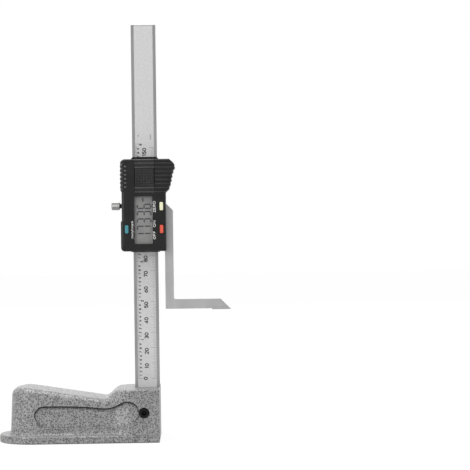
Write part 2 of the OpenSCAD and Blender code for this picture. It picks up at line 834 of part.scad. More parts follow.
module housing() {
    arm_front = arm_y - arm_t / 2 - fit_gap;
    slot_x = cell_d / 2 + cell_gap + well_wall + contact_foot;
    color("#2b2b2d") difference() {
        cover_shell();
        window_box(0, cover_front - overrun, cover_wall + 2 * overrun);
        key_hole(right_key_x, zero_up);
        key_hole(right_key_x, power_up);
        key_hole(left_key_x, power_up);
        door_slot(fit_gap, grip_z, cover_top + overrun);
        rod_y(0, cover_front + door_t, cell_z, cell_d / 2 + cell_gap, cover_d, 64);
        translate([-slot_x, cell_front + cell_t / 2 - fit_gap, cell_z - contact_w / 2 - fit_gap])
            cube([slot_x, cover_d, contact_w + 2 * fit_gap]);
        wiper_seat(frame_top, cover_top + overrun);
        wiper_seat(slider_z - overrun, slider_z + wiper_in + fit_gap);
        boss_places() rod_y(0, board_front - case_screw_bite - fit_gap, 0,
            case_screw_r + screw_gap, case_screw_bite + cover_d);
        translate([frame_half, arm_front, slider_z - overrun])
            cube([right_over + thumb_w, cover_d, arm_rise + overrun + fit_gap]);
        translate([cover_left - overrun, -notch_w / 2, lock_z - notch_w / 2])
            cube([left_over + 2 * overrun, cover_d, notch_w]);
        along_y(cover_back - plate_t - slide_gap, plate_t + overrun) plate_outline(0);
        rod_y(thumb_screw_x, cover_back - thumb_sink_d - thumb_screw_l - fit_gap, thumb_screw_z,
            thumb_screw_r + screw_gap, thumb_screw_l);
        rib_grooves(0, 0);
    }
}

module housing_screws() {
    color("gray") difference() {
        case_screws(0, 0);
        boss_places() translate([-drive_slot_w / 2, frame_back - drive_slot_d, -case_head_r])
            cube([drive_slot_w, drive_slot_d + overrun, 2 * case_head_r]);
    }
}

module grip_plate() {
    color("#262628") difference() {
        along_y(cover_back - plate_t, plate_t) plate_outline(fit_gap);
        rod_y(thumb_screw_x, cover_back - plate_t - overrun, thumb_screw_z,
            thumb_screw_r + screw_gap, plate_t + 2 * overrun);
        rod_y(thumb_screw_x, cover_back - thumb_sink_d, thumb_screw_z, thumb_sink_r,
            thumb_sink_d + overrun);
    }
}

module grip_screw() {
    seat = cover_back - thumb_sink_d;
    color("silver") difference() {
        union() {
            rod_y(thumb_screw_x, seat - thumb_screw_l, thumb_screw_z, thumb_screw_r,
                thumb_screw_l + thumb_head_t / 2);
            rod_y(thumb_screw_x, seat, thumb_screw_z, thumb_head_r, thumb_head_t);
        }
        translate([thumb_screw_x - small_slot / 2, seat + thumb_head_t / 2,
            thumb_screw_z - thumb_head_r - overrun])
            cube([small_slot, thumb_head_t, 2 * (thumb_head_r + overrun)]);
    }
}

module upper_wiper() {
    low = frame_top + fit_gap;
    high = cover_top + wiper_rise;
    color("#202022") along_y(wiper_front, wiper_t) polygon([
        [-wiper_half, low], [wiper_half, low], [wiper_half, cover_top],
        [wiper_half - wiper_taper, high], [-wiper_half + wiper_taper, high],
        [-wiper_half, cover_top]
    ]);
}

module lower_wiper() {
    color("#202022") translate([-wiper_half, wiper_front, slider_z - wiper_out])
        cube([2 * wiper_half, wiper_t, wiper_out + wiper_in]);
}

module battery_cover() {
    low = grip_z + fit_gap;
    patch_z = grip_z + patch_from * rib_pitch;
    patch_h = patch_ribs * rib_pitch;
    step_x = (door_w - 2 * patch_rim) / patch_cols;
    step_z = (patch_h - 2 * patch_rim) / patch_rows;
    color("#2b2b2d") difference() {
        intersection() {
            door_slot(0, low, cover_top + overrun);
            cover_shape();
        }
        rib_grooves(patch_from, patch_from + patch_ribs);
        for (i = [0:patch_cols])
            translate([-door_w / 2 + patch_rim + i * step_x - patch_line / 2,
                cover_front - overrun, patch_z + patch_rim - patch_line / 2])
                cube([patch_line, patch_d + overrun, patch_h - 2 * patch_rim + patch_line]);
        for (i = [0:patch_rows])
            translate([-door_w / 2 + patch_rim, cover_front - overrun,
                patch_z + patch_rim + i * step_z - patch_line / 2])
                cube([door_w - 2 * patch_rim, patch_d + overrun, patch_line]);
    }
}

module key(x, up) {
    lip_y = cavity_front + slide_gap;
    end_y = board_front - dome_t - rest_gap - key_travel;
    translate([x, 0, slider_z + up]) {
        along_y(cover_front - key_out, lip_y - cover_front + key_out)
            rounded(key_w, key_h, key_corner);
        along_y(lip_y, key_lip_t)
            rounded(key_w + 2 * key_lip, key_h + 2 * key_lip, key_corner);
    }
    translate([stem_x(x) - stem_w / 2, lip_y, slider_z + up - stem_w / 2])
        cube([stem_w, end_y - lip_y, stem_w]);
}

module zero_button() {
    color("lemonchiffon") key(right_key_x, zero_up);
}

module power_button() {
    color("tomato") key(right_key_x, power_up);
}

module unit_button() {
    color("cadetblue") key(left_key_x, power_up);
}

module lock_pad() {
    color("goldenrod") rod_x(-lock_seat - pad_t, 0, lock_z, lock_r, pad_t);
}

module lock_screw() {
    r = knob_d / 2;
    root = r - knurl_d;
    grip_l = knob_l - 2 * knob_edge;
    teeth = [for (i = [0:2 * knurl_teeth - 1]) let (a = 180 * i / knurl_teeth)
        (i % 2 == 0 ? r : root) * [cos(a), sin(a)]];
    color("gainsboro") {
        rod_x(knob_x - knob_edge, 0, lock_z, lock_r, -lock_tip - knob_x + knob_edge);
        translate([knob_x - knob_l, 0, lock_z]) rotate([0, 90, 0]) {
            cylinder(r1 = root - knob_edge, r2 = root, h = knob_edge, $fn = 48);
            translate([0, 0, knob_edge]) linear_extrude(grip_l) polygon(teeth);
            translate([0, 0, knob_edge + grip_l])
                cylinder(r1 = root, r2 = root - knob_edge, h = knob_edge, $fn = 48);
        }
    }
}

base_casting();
beam_clamp_screw();
beam();
scale_strip();
scale_label();
stop_screw();
stop_washer();
slider_frame();
scriber_tip();
back_label();
gib_strip();
gib_screws();
sensor_board();
sensor_chip();
key_domes();
contact_rubbers();
display_glass();
display_window();
battery();
battery_contact_plus();
battery_contact_minus();
housing();
housing_screws();
grip_plate();
grip_screw();
upper_wiper();
lower_wiper();
battery_cover();
zero_button();
power_button();
unit_button();
lock_pad();
lock_screw();
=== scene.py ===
# %% [markdown]
# # A digital height gauge, finished for its picture
# A height gauge measures and scribes heights above a flat table. A heavy cast base holds
# a flat steel beam upright, and a slider with a display runs along it. The solids come
# from the CAD model and stay as they are. This notebook adds what a designer adds last:
# the printed scale, the figures in the display, the key legends, the small moulded
# pimples of the grip, and a finish for every surface. Each step first says what the real
# thing is, how it could be made, and why this way was chosen.

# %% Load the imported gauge
import json
import math

import bmesh
import bpy
import numpy as np
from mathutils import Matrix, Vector


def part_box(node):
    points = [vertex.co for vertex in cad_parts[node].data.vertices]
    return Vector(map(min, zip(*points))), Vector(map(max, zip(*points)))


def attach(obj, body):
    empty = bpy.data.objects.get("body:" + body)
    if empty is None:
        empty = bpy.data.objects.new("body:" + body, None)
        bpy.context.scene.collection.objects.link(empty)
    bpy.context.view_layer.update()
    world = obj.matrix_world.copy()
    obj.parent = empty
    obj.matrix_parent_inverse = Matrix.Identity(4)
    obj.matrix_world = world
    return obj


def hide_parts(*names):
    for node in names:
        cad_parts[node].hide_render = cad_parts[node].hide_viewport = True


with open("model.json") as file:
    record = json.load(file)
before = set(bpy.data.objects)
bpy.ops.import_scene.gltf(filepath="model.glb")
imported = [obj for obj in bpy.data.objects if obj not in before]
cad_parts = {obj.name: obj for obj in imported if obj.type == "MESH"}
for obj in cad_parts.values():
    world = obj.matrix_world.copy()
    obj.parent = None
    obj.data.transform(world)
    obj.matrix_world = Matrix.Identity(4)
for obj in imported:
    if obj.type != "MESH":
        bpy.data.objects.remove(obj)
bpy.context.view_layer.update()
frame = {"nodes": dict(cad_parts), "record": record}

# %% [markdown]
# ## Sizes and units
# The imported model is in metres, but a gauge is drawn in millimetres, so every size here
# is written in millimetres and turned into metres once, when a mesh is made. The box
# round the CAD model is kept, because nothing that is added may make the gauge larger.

MM = 0.001


def corners_mm(node):
    """Lowest and highest corner of a CAD node, in millimetres."""
    low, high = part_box(node)
    return np.array(low) / MM, np.array(high) / MM


print("nodes:", len(frame["nodes"]))

# %% [markdown]
# ## The camera
# A product photograph is taken from about a metre away with a long lens, so that upright
# edges stay upright. The place, turn and focal length could be set by eye. Here they come
# from matching the corners of the gauge with the photograph, which also shows that the
# gauge leans by less than a degree, so the camera is rolled by that much instead.

# %% Camera at the photograph's viewing angle
PICTURE_WIDTH = 470
FOCAL_LENGTH_IN_PIXELS = 1534
SENSOR_MM = 36
CAMERA_PLACE_M = (0.0333, -1.0, 0.1335)
CAMERA_TURN_DEGREES = (89.90, 0.74, -1.425)
NEAREST_M, FARTHEST_M = 0.05, 20

camera_data = bpy.data.cameras.new("camera")
camera_data.sensor_width = SENSOR_MM
camera_data.lens = FOCAL_LENGTH_IN_PIXELS / PICTURE_WIDTH * SENSOR_MM
camera_data.clip_start = NEAREST_M
camera_data.clip_end = FARTHEST_M
camera = bpy.data.objects.new("camera", camera_data)
camera.location = CAMERA_PLACE_M
camera.rotation_euler = [math.radians(turn) for turn in CAMERA_TURN_DEGREES]
bpy.context.scene.collection.objects.link(camera)
bpy.context.scene.camera = camera
bpy.context.scene.view_settings.view_transform = "Standard"
print("lens in mm:", round(camera_data.lens, 1))

# %% [markdown]
# ## A small kit for finishes
# A finish is a graph of nodes. Wiring each one by hand would fill pages, so a few helpers
# do what every finish here needs: start a material, place a pattern in millimetres of the
# gauge's own space, turn a pattern's grey value into numbers, colours or relief, and
# paint shade into the creases between walls. Patterns read Object coordinates, so they
# stay on the surface from every side.

# %% Helpers that build a finish
finishes = {}


def new_finish(name, **settings):
    """A material with one Principled shader, whose sockets get the given plain values.
    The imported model's own plain material of that name gives way to it."""
    plain_one = bpy.data.materials.get(name)
    if plain_one:
        plain_one.name = name + "_plain"
    material = bpy.data.materials.new(name)
    material.use_nodes = True
    shader = material.node_tree.nodes["Principled BSDF"]
    for socket, value in settings.items():
        shader.inputs[socket.replace("_", " ")].default_value = value
    finishes[name] = material
    return material, material.node_tree, shader


def grain(tree, size_mm, stretch=(1, 1, 1), detail=3.0, rough=0.5):
    """Noise with blotches about size_mm wide, drawn out along an axis by its stretch."""
    place = tree.nodes.new("ShaderNodeTexCoord")
    scale = tree.nodes.new("ShaderNodeMapping")
    scale.inputs["Scale"].default_value = [1 / (size_mm * MM * s) for s in stretch]
    noise = tree.nodes.new("ShaderNodeTexNoise")
    noise.inputs["Scale"].default_value = 1
    noise.inputs["Detail"].default_value = detail
    noise.inputs["Roughness"].default_value = rough
    tree.links.new(place.outputs["Object"], scale.inputs["Vector"])
    tree.links.new(scale.outputs["Vector"], noise.inputs["Vector"])
    return noise.outputs["Fac"]


def between(tree, value, low, high, from_low=0.3, from_high=0.7):
    """The value moved from one range to another, and kept inside it."""
    node = tree.nodes.new("ShaderNodeMapRange")
    node.inputs["From Min"].default_value = from_low
    node.inputs["From Max"].default_value = from_high
    node.inputs["To Min"].default_value = low
    node.inputs["To Max"].default_value = high
    tree.links.new(value, node.inputs["Value"])
    return node.outputs["Result"]


def tones(tree, value, *stops):
    """Colours picked by the value: each stop is a place from 0 to 1 and a colour."""
    ramp = tree.nodes.new("ShaderNodeValToRGB")
    while len(ramp.color_ramp.elements) < len(stops):
        ramp.color_ramp.elements.new(0.5)
    for element, (place, colour) in zip(ramp.color_ramp.elements, stops):
        element.position = place
        element.color = (*colour, 1)
    tree.links.new(value, ramp.inputs["Fac"])
    return ramp.outputs["Color"]


def relief(tree, height, depth_mm, strength=1.0):
    """Bends the shading as if the height pattern stood up by depth_mm."""
    bump = tree.nodes.new("ShaderNodeBump")
    bump.inputs["Distance"].default_value = depth_mm * MM
    bump.inputs["Strength"].default_value = strength
    tree.links.new(height, bump.inputs["Height"])
    return bump.outputs["Normal"]


def axis(tree, letter, space="Object"):
    """How far a point lies along X, Y or Z, in the space of that name."""
    place = tree.nodes.new("ShaderNodeTexCoord")
    split = tree.nodes.new("ShaderNodeSeparateXYZ")
    tree.links.new(place.outputs[space], split.inputs[0])
    return split.outputs[letter]


def dimmed(tree, colour, factor):
    """The colour times a number that a pattern gives."""
    product = tree.nodes.new("ShaderNodeVectorMath")
    product.operation = "SCALE"
    tree.links.new(colour, product.inputs[0])
    tree.links.new(factor, product.inputs["Scale"])
    return product.outputs["Vector"]


def creased(tree, colour, reach_mm, dark, from_open=0.60, to_open=0.95, upwards=0.0):
    """The colour, darkened as painted shade where the piece's own walls come closer than
    reach_mm, in a crease. Dark is what is left of it in the deepest ones. With upwards
    above nought, a wall overhead counts for more than one below, as painted shade from above."""
    nearby = tree.nodes.new("ShaderNodeAmbientOcclusion")
    nearby.only_local = True
    if upwards:
        facing = tree.nodes.new("ShaderNodeNewGeometry")
        raised = tree.nodes.new("ShaderNodeVectorMath")
        raised.operation = "ADD"
        raised.inputs[1].default_value = (0, 0, upwards)
        tree.links.new(facing.outputs["Normal"], raised.inputs[0])
        tree.links.new(raised.outputs["Vector"], nearby.inputs["Normal"])
    nearby.inputs["Distance"].default_value = reach_mm * MM
    painted_shade_factor = between(tree, nearby.outputs["AO"], dark, 1.0, from_open, to_open)
    return dimmed(tree, colour, painted_shade_factor)


def grey(tone, tint=0.0):
    """A grey, slightly bluish where the tint is above nought."""
    return (tone * (1 - tint), tone, tone * (1 + tint))


print("helpers ready")

# %% [markdown]
# ## Hammered paint
# The base is cast iron under hammered paint: a grey film with metal flakes that pulls
# into small cells as it dries, so light flecks and dark pits lie a millimetre apart. A
# photograph of paint could be wrapped round the casting, but it would stretch. Fine noise
# gives the flecks and a pattern of cells gives the pits, and their sum gives the relief
# too. Painted shade darkens the creases, most under an overhang, such as the upper edge
# of the side recess.

# %% Grey hammered paint for the casting
FLECK_MM = 0.42
CELL_MM = 1.1
PIT_SHARE = 0.3
FILM_RELIEF_MM = 0.06
FILM_TONES = ((0.46, grey(0.02)), (0.54, grey(0.125)), (0.62, grey(0.165)), (0.74, grey(0.40)))

_, tree, shader = new_finish("hammered_paint", Metallic=0.25)
flecks = grain(tree, FLECK_MM, detail=2.5, rough=0.65)
cells = tree.nodes.new("ShaderNodeTexVoronoi")
cells.inputs["Scale"].default_value = 1 / (CELL_MM * MM)
cells.inputs["Randomness"].default_value = 1.0
place = tree.nodes.new("ShaderNodeTexCoord")
tree.links.new(place.outputs["Object"], cells.inputs["Vector"])
pits = between(tree, cells.outputs["Distance"], 0.0, 1.0, from_low=0.1, from_high=0.75)
mixed = tree.nodes.new("ShaderNodeMath")
mixed.operation = "MULTIPLY_ADD"
mixed.inputs[1].default_value = PIT_SHARE
tree.links.new(pits, mixed.inputs[0])
tree.links.new(flecks, mixed.inputs[2])
film = tones(tree, mixed.outputs[0], *FILM_TONES)
# Painted shade in the creases, darker under an overhang, as under light from above.
shaded_film = creased(tree, film, reach_mm=2.8, dark=0.04, to_open=0.92, upwards=0.8)
tree.links.new(shaded_film, shader.inputs["Base Color"])
tree.links.new(between(tree, flecks, low=0.32, high=0.48), shader.inputs["Roughness"])
film_relief = relief(tree, mixed.outputs[0], FILM_RELIEF_MM, strength=0.5)
tree.links.new(film_relief, shader.inputs["Normal"])
print("hammered paint:", len(tree.nodes), "nodes")

# %% [markdown]
# ## Ground and turned steel
# The beam, the slider's frame and the scriber are stainless steel, ground lengthwise, so
# fine scratches run up the beam and blur reflections sideways. Screws and the knurled
# knob are turned steel, with finer and rounder marks. One function makes them all: noise
# drawn out along the grain varies the colour and the gloss and scratches the surface, and
# painted shade darkens the creases. The frame is ground brighter than the beam, and the
# lock screw is painted dark beyond its knob, as painted shade where it enters the housing.

# %% Metals
PATCH_MM = 14.0
PATCH_SHARE = 0.45
SHADE_REACH_MM = 1.2


def metal(name, colour, roughness, grain_mm, stretch, depth_mm, spread=0.12):
    """A metal with scratches grain_mm wide and depth_mm deep, drawn out along X, Y or Z by
    the stretch. The colour varies up and down by the spread, with painted shade in creases."""
    material, tree, shader = new_finish(name, Metallic=1.0)
    scratches = grain(tree, grain_mm, stretch, detail=4.0)
    patches = grain(tree, PATCH_MM, (1, 1, 1.6), detail=2.0)
    both = tree.nodes.new("ShaderNodeMix")
    both.data_type = "FLOAT"
    both.inputs["Factor"].default_value = PATCH_SHARE
    tree.links.new(scratches, both.inputs["A"])
    tree.links.new(patches, both.inputs["B"])
    dark = tuple(c * (1 - spread) for c in colour)
    light = tuple(min(1.0, c * (1 + spread)) for c in colour)
    shade = tones(tree, both.outputs["Result"], (0.32, dark), (0.68, light))
    # Painted shade where the piece's own walls meet.
    tree.links.new(creased(tree, shade, SHADE_REACH_MM, 0.35), shader.inputs["Base Color"])
    tree.links.new(between(tree, both.outputs["Result"], roughness * 0.82, roughness * 1.2),
                   shader.inputs["Roughness"])
    tree.links.new(relief(tree, scratches, depth_mm, 0.35), shader.inputs["Normal"])
    return material


# Each line gives the colour, the roughness, then the scratches' width, stretch and depth.
metal("ground_steel", grey(0.455), 0.36, 0.11, (1, 1, 90), 0.012)
frame_steel = metal("frame_steel", grey(0.66), 0.38, 0.11, (1, 1, 90), 0.012)
metal("hard_tip", grey(0.64), 0.34, 0.30, (60, 1, 1), 0.004)
metal("screw_steel", grey(0.50), 0.30, 0.25, (1, 1, 1), 0.010)
knurled_steel = metal("bright_screw", (0.49, 0.49, 0.485), 0.36, 0.20, (6, 1, 1), 0.015)
metal("black_screw", grey(0.025), 0.42, 0.20, (1, 1, 1), 0.010, spread=0.3)
metal("bronze", (0.52, 0.33, 0.16), 0.38, 0.15, (1, 1, 40), 0.010)
metal("spring_contact", (0.75, 0.56, 0.24), 0.26, 0.20, (1, 1, 1), 0.008)
metal("cell_steel", (0.62, 0.61, 0.58), 0.28, 0.14, (30, 1, 1), 0.008)

# The lock screw is painted dark where its knob ends, over a fifth of a millimetre: painted
# shade on the neck where it enters the housing.
KNOB_LENGTH = 5.7
HALF_BLEND = 0.1 * MM
tree = knurled_steel.node_tree
shader = tree.nodes["Principled BSDF"]
bare = shader.inputs["Base Color"].links[0].from_socket
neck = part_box("lock_screw")[0][0] + KNOB_LENGTH * MM
neck_painted_shade = between(tree, axis(tree, "X"), 1.0, 0.06, neck - HALF_BLEND, neck + HALF_BLEND)
tree.links.new(dimmed(tree, bare, neck_painted_shade), shader.inputs["Base Color"])
print("metals:", ", ".join(name for name in finishes if name != "hammered_paint"))

# %% [markdown]
# ## Mouldings, rubber and foil
# The cover, the keys and the wipers are moulded. A mould is spark-eroded to a fine grain,
# which scatters light, so black plastic looks dark grey. Thumbs polish the battery's cover,
# and the pimples beside the grip are painted a lighter grey, a painted highlight. Foil and
# laminate are flat but never quite even. One function covers these too: colour that
# wanders a little, a gloss that wanders with it, a grain in the surface, and painted shade
# in the creases.

# %% Plastics, rubber and printed foils
def moulded(name, colour, roughness, grain_mm, depth_mm, spread=0.15, level=0.5, cloud_mm=8.0):
    """A dielectric with a colour that wanders over cloud_mm, a surface grain of grain_mm,
    and painted shade in its creases.
    """
    material, tree, shader = new_finish(name, Specular_IOR_Level=level)
    skin = grain(tree, grain_mm, detail=2.0)
    cloud = grain(tree, cloud_mm, detail=3.0)
    dark = tuple(c * (1 - spread) for c in colour)
    light = tuple(min(1.0, c * (1 + spread)) for c in colour)
    shade = tones(tree, cloud, (0.3, dark), (0.7, light))
    # Painted shade where the piece's own walls meet.
    tree.links.new(creased(tree, shade, SHADE_REACH_MM, 0.3), shader.inputs["Base Color"])
    tree.links.new(between(tree, cloud, roughness * 0.9, roughness * 1.12),
                   shader.inputs["Roughness"])
    tree.links.new(relief(tree, skin, depth_mm, 0.5), shader.inputs["Normal"])
    return material


# Each line gives the colour, the roughness, then the surface grain's width and depth.
moulded("case_black", grey(0.010), 0.34, 0.45, 0.035, spread=0.2, level=0.42)
# The pimples get a lighter grey than the case: a painted highlight on the domes.
pimple_highlight_black = moulded("pimple_highlight_black", grey(0.085), 0.30, 0.16, 0.010, spread=0.2, level=0.6)
door_black = moulded("door_black", grey(0.013), 0.28, 0.45, 0.020, spread=0.2, level=0.55)
moulded("dark_rubber", grey(0.014), 0.62, 0.22, 0.020, level=0.3)
moulded("key_cream", (0.99, 0.97, 0.67), 0.40, 0.20, 0.010, spread=0.05)
moulded("key_red", (0.88, 0.12, 0.070), 0.38, 0.20, 0.010, spread=0.08)
moulded("key_blue", (0.075, 0.30, 0.36), 0.38, 0.20, 0.010, spread=0.10)
moulded("scale_print", grey(0.68), 0.42, 0.35, 0.004, 0.085, cloud_mm=0.9)
moulded("table_print", grey(0.012), 0.45, 0.30, 0.006, spread=0.12, level=0.3)
moulded("strip_laminate", (0.42, 0.36, 0.17), 0.50, 0.40, 0.010)
moulded("board_green", (0.015, 0.11, 0.035), 0.35, 0.50, 0.010)
moulded("black_resin", grey(0.014), 0.30, 0.80, 0.020)
print("mouldings and foils done,", len(finishes), "finishes so far")

# %% [markdown]
# ## The display and its window
# A liquid crystal display is a grey cell behind a clear window. Real glass could be made
# with refraction, but light that is scattered behind glass is slow to render and noisy.
# A thin clear sheet hardly bends light, so the window is mostly see-through with a gloss
# on top, and the cell is a dull grey with the faint cloudiness of its polarising film.

# %% Display cell, window and inks
moulded("display_cell", (0.345, 0.345, 0.340), 0.55, 0.30, 0.004, spread=0.07)
SMEAR_MM = 5.0
window_clear, tree, shader = new_finish("clear_window", Alpha=0.05)
smear = grain(tree, SMEAR_MM, (1, 1, 2))
tree.links.new(between(tree, smear, low=0.05, high=0.14), shader.inputs["Roughness"])
tree.links.new(tones(tree, smear, (0.3, grey(0.02)), (0.7, grey(0.05))),
               shader.inputs["Base Color"])
window_clear.surface_render_method = "BLENDED"

black_ink = moulded("black_ink", grey(0.015), 0.50, 0.30, 0.002, spread=0.25)
pale_ink = moulded("pale_ink", (0.92, 0.92, 0.91), 0.50, 0.30, 0.002, spread=0.05)
segment_ink = moulded("segment_dark", (0.075, 0.075, 0.085), 0.50, 0.30, 0.002, spread=0.1)
print("display finishes done")

# %% [markdown]
# ## Give every CAD node its finish
# The record names a material slot for each node, so the finishes carry the slots' names
# and a short loop hands them out. The frame and the battery's cover then get finishes of
# their own. A node keeps its mesh, and only its material changes.

# %% Hand out the finishes
slot_of = {part["node"]: part["material_slot"] for part in frame["record"]["subparts"]}
for node, solid in frame["nodes"].items():
    solid.data.materials.clear()
    solid.data.materials.append(finishes[slot_of[node]])
frame["nodes"]["slider_frame"].data.materials[0] = frame_steel
frame["nodes"]["battery_cover"].data.materials[0] = door_black
print("finishes handed out to", len(slot_of), "nodes")

# %% [markdown]
# ## Strokes: one bar for every printed mark
# Print and engraving are made of strokes of one width. A font could be used, but the
# scale's figures are plain single-stroke ones, and strokes also give the graduations and
# the table's lines. Each stroke is a flat bar carried along a path: at every point of the
# path the two sides lie half a width to the left and right, measured along the direction
# that halves the bend, and the bar has a small thickness, as ink does.

# %% A bar carried along a path
INK = 0.015
TIGHTEST_BEND = 0.55


def stroke(path, width, depth):
    """Vertices and faces of a flat bar along a path in a plane, all in millimetres.

    side = the halved direction turned by 90 degrees; left and right = point +- side * half
    the width / cosine of half the bend. The section has four corners, and z is its depth.
    """
    path = np.asarray(path, float)
    closed = np.allclose(path[0], path[-1]) and len(path) > 3
    if closed:
        path = path[:-1]
    ahead = np.roll(path, -1, axis=0) - path
    if not closed:
        ahead[-1] = ahead[-2]
    ahead /= np.linalg.norm(ahead, axis=1)[:, None]
    behind = np.roll(ahead, 1, axis=0)
    if not closed:
        behind[0] = ahead[0]
    along = ahead + behind
    along /= np.linalg.norm(along, axis=1)[:, None]
    half = width / 2 / np.maximum(TIGHTEST_BEND, (along * ahead).sum(axis=1))[:, None]
    side = np.stack([-along[:, 1], along[:, 0]], axis=1) * half
    n = len(path)
    section = np.zeros((n, 4, 3))
    section[:, (0, 3), :2] = (path + side)[:, None]
    section[:, (1, 2), :2] = (path - side)[:, None]
    section[:, :2, 2] = depth
    i = np.arange(n if closed else n - 1)[:, None]
    k = np.arange(4)[None]
    j, l = (i + 1) % n, (k + 1) % 4
    faces = np.stack([4 * i + k, 4 * i + l, 4 * j + l, 4 * j + k], axis=-1).reshape(-1, 4)
    if not closed:
        ends = [[0, 3, 2, 1], [4 * n - 4, 4 * n - 3, 4 * n - 2, 4 * n - 1]]
        faces = np.vstack([faces, ends])
    return section.reshape(-1, 3), faces


def joined(parts):
    """Several meshes as one: the vertices stacked, and each face list moved up by a count."""
    counts = np.cumsum([0] + [len(v) for v, _ in parts[:-1]])
    return (np.vstack([v for v, _ in parts]),
            np.vstack([f + c for (_, f), c in zip(parts, counts)]))


def laid_on(mesh, origin, right, up):
    """Moves a flat drawing onto a plane of the gauge: right and up span it, and the
    drawing's depth goes along their cross product, out of the surface."""
    vertices, faces = mesh
    out = np.cross(right, up)
    return vertices @ np.array([right, up, out], float) + np.asarray(origin, float), faces


print("a straight stroke has", len(stroke([[0, 0], [1, 0]], 0.1, 0.02)[1]), "faces")

# %% [markdown]
# ## Single-stroke figures
# Figures and capitals are drawn on a small plan, one unit tall, from straight lines and
# pieces of ellipses. An ellipse's point at an angle is its centre plus the cosine and the
# sine of the angle times its two half widths. Only the signs that this gauge needs are
# drawn: ten figures, and the letters of ON, OFF, ZERO, mm and inch beside the keys.

# %% The figures and letters
def bow(x, y, across, up, start, stop, steps=6):
    """Points on an ellipse round (x, y), from one angle in degrees to another."""
    a = np.radians(np.linspace(start, stop, steps + 1))
    return np.stack([x + across * np.cos(a), y + up * np.sin(a)], axis=1)


def run(*points):
    return np.array(points, float)


SIGNS = {
    "0": (0.66, [bow(0.33, 0.5, 0.31, 0.5, 90, 450, 12)]),
    "1": (0.40, [run((0.06, 0.80), (0.26, 1.0), (0.26, 0))]),
    "2": (0.64, [np.vstack([bow(0.31, 0.71, 0.28, 0.29, 165, -35, 6), run((0.03, 0), (0.61, 0))])]),
    "3": (0.64, [np.vstack([bow(0.29, 0.76, 0.26, 0.24, 150, -80, 6),
                            bow(0.29, 0.27, 0.31, 0.27, 80, -150, 6)])]),
    "4": (0.66, [run((0.62, 0.28), (0.02, 0.28), (0.44, 1.0), (0.44, 0))]),
    "5": (0.64, [np.vstack([run((0.56, 1.0), (0.12, 1.0), (0.07, 0.56)),
                            bow(0.29, 0.32, 0.31, 0.32, 110, -150, 7)])]),
    "6": (0.66, [np.vstack([run((0.50, 1.0), (0.16, 0.62)),
                            bow(0.33, 0.31, 0.30, 0.31, 150, 510, 12)])]),
    "7": (0.60, [run((0.02, 1.0), (0.58, 1.0), (0.20, 0))]),
    "8": (0.66, [bow(0.33, 0.76, 0.25, 0.24, 270, 630, 10), bow(0.33, 0.26, 0.31, 0.26, 90, 450, 10)]),
    "9": (0.66, [np.vstack([run((0.16, 0), (0.50, 0.38)),
                            bow(0.33, 0.69, 0.30, 0.31, -30, 330, 12)])]),
    ".": (0.24, [run((0.10, 0.0), (0.10, 0.09))]),
    "/": (0.46, [run((0.02, -0.12), (0.42, 1.08))]),
    "E": (0.60, [run((0.54, 1), (0.06, 1), (0.06, 0), (0.56, 0)), run((0.06, 0.52), (0.46, 0.52))]),
    "F": (0.58, [run((0.54, 1), (0.06, 1), (0.06, 0)), run((0.06, 0.52), (0.46, 0.52))]),
    "N": (0.72, [run((0.06, 0), (0.06, 1), (0.64, 0), (0.64, 1))]),
    "O": (0.80, [bow(0.38, 0.5, 0.36, 0.5, 90, 450, 12)]),
    "R": (0.66, [np.vstack([run((0.06, 0), (0.06, 1)), bow(0.32, 0.76, 0.26, 0.24, 90, -90, 6),
                            run((0.06, 0.52))]), run((0.34, 0.52), (0.60, 0))]),
    "Z": (0.66, [run((0.04, 1), (0.60, 1), (0.04, 0), (0.62, 0))]),
    "c": (0.52, [bow(0.29, 0.33, 0.26, 0.33, 50, 310, 8)]),
    "h": (0.58, [run((0.06, 0), (0.06, 1)),
                 np.vstack([bow(0.29, 0.40, 0.23, 0.26, 180, 0, 6), run((0.52, 0))])]),
    "i": (0.22, [run((0.10, 0), (0.10, 0.64)), run((0.10, 0.86), (0.10, 0.96))]),
    "m": (0.90, [run((0.06, 0), (0.06, 0.66)),
                 np.vstack([bow(0.26, 0.44, 0.20, 0.22, 180, 0, 6), run((0.46, 0))]),
                 np.vstack([bow(0.66, 0.44, 0.20, 0.22, 180, 0, 6), run((0.86, 0))])]),
    "n": (0.58, [run((0.06, 0), (0.06, 0.66)),
                 np.vstack([bow(0.29, 0.40, 0.23, 0.26, 180, 0, 6), run((0.52, 0))])]),
}


SIGN_GAP = 0.14


def lettering(text, height, weight, depth=INK, start=(0, 0), align=0.0, wide=1.0):
    """The strokes of a line of signs, which begins at start, or ends there with align 1.
    Where wide isn't 1, the signs are that much wider than their plan."""
    widths = [SIGNS[c][0] + SIGN_GAP for c in text]
    size = np.array([height * wide, height])
    length = (sum(widths) - SIGN_GAP) * size[0]
    pen = np.array(start, float) - [align * length, 0]
    parts = []
    for sign, width in zip(text, widths):
        parts += [stroke(np.asarray(p) * size + pen, weight, depth) for p in SIGNS[sign][1]]
        pen = pen + [width * size[0], 0]
    return parts


print("signs drawn:", "".join(SIGNS))

# %% [markdown]
# ## From arrays to a piece of the gauge
# A finished drawing becomes one mesh object. Its place is in its vertices, and the object
# itself stays at the origin, as the CAD nodes do, so it rides on its body without a turn.

# %% Make a piece and let it ride on its body
def piece(name, mesh, finish, body, smooth=False):
    """A mesh object from millimetre vertices and faces, in metres, riding on a CAD body."""
    vertices, faces = mesh
    data = bpy.data.meshes.new(name)
    data.from_pydata((vertices * MM).tolist(), [], np.asarray(faces, object).tolist())
    data.validate()
    data.polygons.foreach_set("use_smooth", np.full(len(data.polygons), smooth))
    data.materials.append(finish)
    made = bpy.data.objects.new(name, data)
    bpy.context.scene.collection.objects.link(made)
    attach(made, body)
    print(name, "-", len(vertices), "vertices,", len(faces), "faces, on", body)


